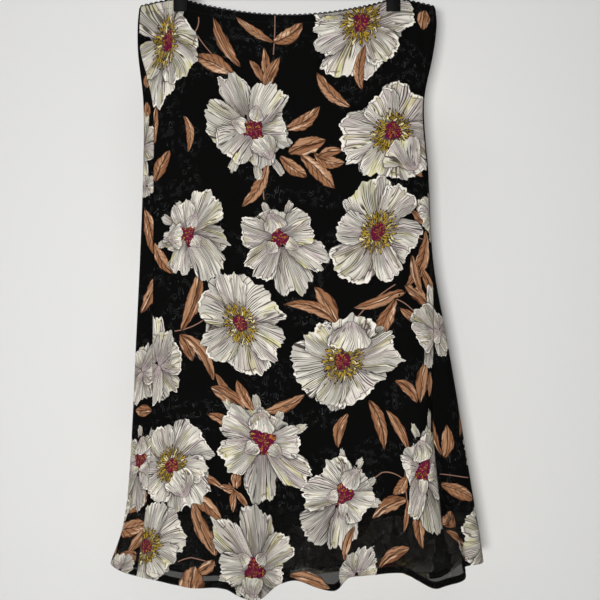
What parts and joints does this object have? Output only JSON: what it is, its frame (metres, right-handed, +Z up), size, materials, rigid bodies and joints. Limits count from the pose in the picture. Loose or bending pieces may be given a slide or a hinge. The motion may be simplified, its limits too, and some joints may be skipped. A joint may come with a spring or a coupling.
{
  "type": "midi slip skirt on clip hanger",
  "caption": "Flared midi slip skirt of sheer flowered crepe with a shorter dark lining and a picot elastic waist, held by a two-clip hanger.",
  "frame": {"origin": "seat of the hanger's hook, on the inside of its wire, where a rail carries it", "axes": "+Z up, -Y towards the front of the skirt, +X to the right of its front"},
  "size_m": [0.5024, 0.0934, 0.8997],
  "materials": {
    "printed_crepe": "sheer matt crepe with a slight crinkle, printed with white blooms and copper leaves on black",
    "lining": "plain dark lining, slightly smooth",
    "elastic": "flat knitted elastic with a looped edge",
    "black_plastic": "moulded, half matt",
    "steel_wire": "bright drawn wire"
  },
  "bodies": {
    "root": {"front_panel": "printed_crepe", "back_panel": "printed_crepe", "front_lining": "lining", "back_lining": "lining", "front_elastic": "elastic", "back_elastic": "elastic", "hanger_bar": "black_plastic", "hanger_collar": "black_plastic", "hanger_hook": "steel_wire", "clip_left_front_jaw": "black_plastic", "clip_left_back_jaw": "black_plastic", "clip_left_spring": "steel_wire", "clip_right_front_jaw": "black_plastic", "clip_right_back_jaw": "black_plastic", "clip_right_spring": "steel_wire"}
  },
  "joints": []
}
